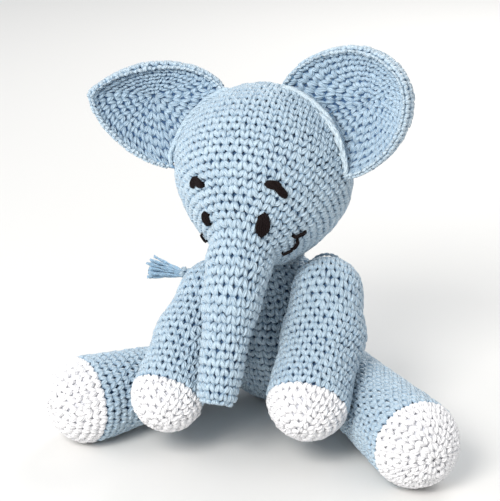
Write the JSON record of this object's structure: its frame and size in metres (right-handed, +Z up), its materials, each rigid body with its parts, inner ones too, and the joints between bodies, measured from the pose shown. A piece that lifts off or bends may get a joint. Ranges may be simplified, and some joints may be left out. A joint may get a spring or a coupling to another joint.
{
  "type": "stuffed elephant",
  "caption": "Sitting crocheted elephant, stuffed, with big ears, a hanging trunk, white hoofs and soles, embroidered face and a tufted tail. Its head, ears, trunk, limbs and tail bend.",
  "frame": {"origin": "on the surface that the elephant sits on, at the middle of the body's flat underside", "axes": "+Z up, the elephant faces -Y, and its own left side is towards +X"},
  "size_m": [0.19, 0.134, 0.179],
  "materials": {
    "blue_yarn": "crocheted glossy cotton yarn, light blue",
    "white_yarn": "crocheted glossy cotton yarn, white",
    "dark_thread": "embroidered thread, near-black brown",
    "fibre": "loose polyester fibre stuffing"
  },
  "bodies": {
    "torso": {"body_skin": "blue_yarn", "body_stuffing": "fibre"},
    "neck": {"neck_seam": "blue_yarn"},
    "head": {"head_skin": "blue_yarn", "head_stuffing": "fibre", "eye_right": "dark_thread", "eye_left": "dark_thread", "brow_right": "dark_thread", "brow_left": "dark_thread", "mouth_right": "dark_thread", "mouth_left": "dark_thread"},
    "trunk": {"trunk_skin": "blue_yarn", "trunk_stuffing": "fibre"},
    "ear_right": {"ear_right_front": "blue_yarn", "ear_right_back": "blue_yarn", "ear_right_edging": "blue_yarn", "ear_right_seam": "blue_yarn"},
    "ear_left": {"ear_left_front": "blue_yarn", "ear_left_back": "blue_yarn", "ear_left_edging": "blue_yarn", "ear_left_seam": "blue_yarn"},
    "arm_right": {"arm_right_sleeve": "blue_yarn", "arm_right_hoof": "white_yarn", "arm_right_stuffing": "fibre", "arm_right_seam": "blue_yarn"},
    "arm_left": {"arm_left_sleeve": "blue_yarn", "arm_left_hoof": "white_yarn", "arm_left_stuffing": "fibre", "arm_left_seam": "blue_yarn"},
    "leg_right": {"leg_right_sleeve": "blue_yarn", "leg_right_sole": "white_yarn", "leg_right_stuffing": "fibre", "leg_right_seam": "blue_yarn"},
    "leg_left": {"leg_left_sleeve": "blue_yarn", "leg_left_sole": "white_yarn", "leg_left_stuffing": "fibre", "leg_left_seam": "blue_yarn"},
    "tail": {"tail_stalk": "blue_yarn", "tail_tuft": "blue_yarn"}
  },
  "joints": [
    {"name": "head_turn", "type": "hinge", "parent": "torso", "child": "neck", "pos_m": [-0.002, -0.012, 0.0772], "axis": [0, 0, 1], "range_deg": [-1.5, 12], "stiffness_Nm_per_rad": 0.6},
    {"name": "head_nod", "type": "hinge", "parent": "neck", "child": "head", "pos_m": [-0.002, -0.012, 0.0772], "axis": [-1, 0, 0], "range_deg": [-5, 8], "stiffness_Nm_per_rad": 0.6},
    {"name": "trunk_swing", "type": "hinge", "parent": "head", "child": "trunk", "pos_m": [-0.003, -0.054, 0.087], "axis": [-1, 0, 0], "range_deg": [-2, 40], "stiffness_Nm_per_rad": 0.08},
    {"name": "ear_right_flap", "type": "hinge", "parent": "head", "child": "ear_right", "pos_m": [-0.0331, -0.0206, 0.1361], "axis": [0.5659, 0.2589, 0.7828], "range_deg": [-9, 9], "stiffness_Nm_per_rad": 0.03},
    {"name": "ear_left_flap", "type": "hinge", "parent": "head", "child": "ear_left", "pos_m": [0.0235, -0.0182, 0.1384], "axis": [-0.6698, 0.2939, 0.6818], "range_deg": [-6, 9], "stiffness_Nm_per_rad": 0.03},
    {"name": "arm_right_raise", "type": "hinge", "parent": "torso", "child": "arm_right", "pos_m": [-0.0245, -0.015, 0.066], "axis": [-0.7605, 0.4056, -0.507], "range_deg": [0, 20]},
    {"name": "arm_left_raise", "type": "hinge", "parent": "torso", "child": "arm_left", "pos_m": [0.0255, -0.012, 0.069], "axis": [-0.5907, -0.4905, 0.6407], "range_deg": [0, 22]},
    {"name": "leg_right_spread", "type": "hinge", "parent": "torso", "child": "leg_right", "pos_m": [-0.027, -0.016, 0.0175], "axis": [0, 0, -1], "range_deg": [0, 28]},
    {"name": "leg_left_spread", "type": "hinge", "parent": "torso", "child": "leg_left", "pos_m": [0.034, -0.012, 0.018], "axis": [0, 0, 1], "range_deg": [0, 28]},
    {"name": "tail_swing", "type": "hinge", "parent": "torso", "child": "tail", "pos_m": [-0.01, 0.0343, 0.022], "axis": [0, 0, 1], "range_deg": [-12, 12], "stiffness_Nm_per_rad": 0.02}
  ]
}
